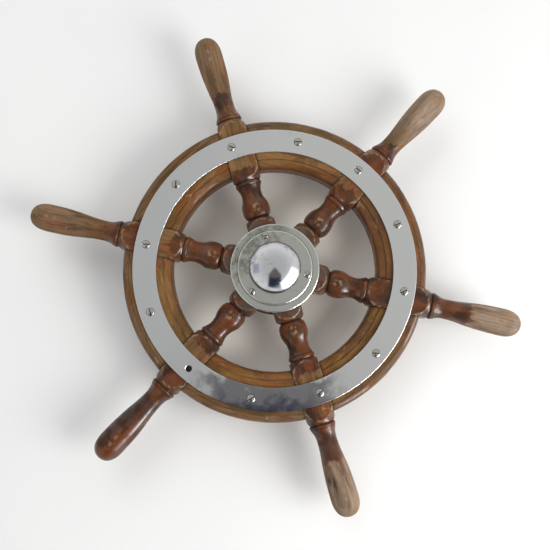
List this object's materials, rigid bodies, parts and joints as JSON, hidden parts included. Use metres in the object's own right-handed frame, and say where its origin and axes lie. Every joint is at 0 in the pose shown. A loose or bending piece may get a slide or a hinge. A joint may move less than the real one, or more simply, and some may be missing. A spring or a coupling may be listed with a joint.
{
  "type": "ship steering wheel",
  "caption": "Wooden ship's steering wheel with turned spokes and handles, a segmented rim under a bright face ring, and a domed nave on a short shaft in a flanged bearing.",
  "frame": {"origin": "centre of the bearing housing's flat mounting face, on the wheel's axis; the assembly stands on that face with the wheel's front up", "axes": "+Z along the shaft from the mounting face out through the domed front; +X and +Y in the mounting plane, with the first spoke 47 degrees anticlockwise from +X"},
  "size_m": [0.5944, 0.5834, 0.0966],
  "materials": {
    "varnished_wood": "worn gloss varnish over stained hardwood, bare and greyed towards the handle ends",
    "rim_wood": "worn amber varnish over hardwood",
    "dowel_wood": "bare hardwood, hidden in the joints",
    "ring_chrome": "satin chrome plate, lightly pitted",
    "dome_chrome": "bright polished chrome plate",
    "nave_metal": "dulled plate, grime round the screws",
    "screw_metal": "worn bright plate",
    "steel": "plain machined steel",
    "cast_bronze": "dulled marine bronze casting",
    "bush_bronze": "machined bronze"
  },
  "bodies": {
    "bearing": {"bearing_housing": "cast_bronze", "bearing_bush": "bush_bronze", "thrust_washer": "bush_bronze"},
    "wheel": {"wheel_shaft": "steel", "keeper_washer": "steel", "keeper_screw": "steel", "shaft_key": "steel", "hub_casting": "cast_bronze", "shaft_washer": "steel", "shaft_nut": "steel", "nave_front_plate": "nave_metal", "cap_ring": "nave_metal", "dome_cap": "dome_chrome", "cap_screw_1": "screw_metal", "cap_screw_2": "screw_metal", "cap_screw_3": "screw_metal", "spoke_1": "varnished_wood", "spoke_2": "varnished_wood", "spoke_3": "varnished_wood", "spoke_4": "varnished_wood", "spoke_5": "varnished_wood", "spoke_6": "varnished_wood", "nave_bolt_1": "steel", "nave_bolt_2": "steel", "nave_bolt_3": "steel", "nave_bolt_4": "steel", "nave_bolt_5": "steel", "nave_bolt_6": "steel", "dowel_1_left": "dowel_wood", "dowel_1_right": "dowel_wood", "dowel_2_left": "dowel_wood", "dowel_2_right": "dowel_wood", "dowel_3_left": "dowel_wood", "dowel_3_right": "dowel_wood", "dowel_4_left": "dowel_wood", "dowel_4_right": "dowel_wood", "dowel_5_left": "dowel_wood", "dowel_5_right": "dowel_wood", "dowel_6_left": "dowel_wood", "dowel_6_right": "dowel_wood", "felloe_1": "rim_wood", "felloe_2": "rim_wood", "felloe_3": "rim_wood", "felloe_4": "rim_wood", "felloe_5": "rim_wood", "felloe_6": "rim_wood", "face_ring": "ring_chrome", "ring_screw_1": "screw_metal", "ring_screw_2": "screw_metal", "ring_screw_3": "screw_metal", "ring_screw_4": "screw_metal", "ring_screw_5": "screw_metal", "ring_screw_6": "screw_metal", "ring_screw_8": "screw_metal", "ring_screw_9": "screw_metal", "ring_screw_10": "screw_metal", "ring_screw_11": "screw_metal", "ring_screw_12": "screw_metal"}
  },
  "joints": [
    {"name": "wheel_spin", "type": "hinge", "parent": "bearing", "child": "wheel", "pos_m": [0, 0, 0.05], "axis": [0, 0, 1], "continuous": true}
  ]
}
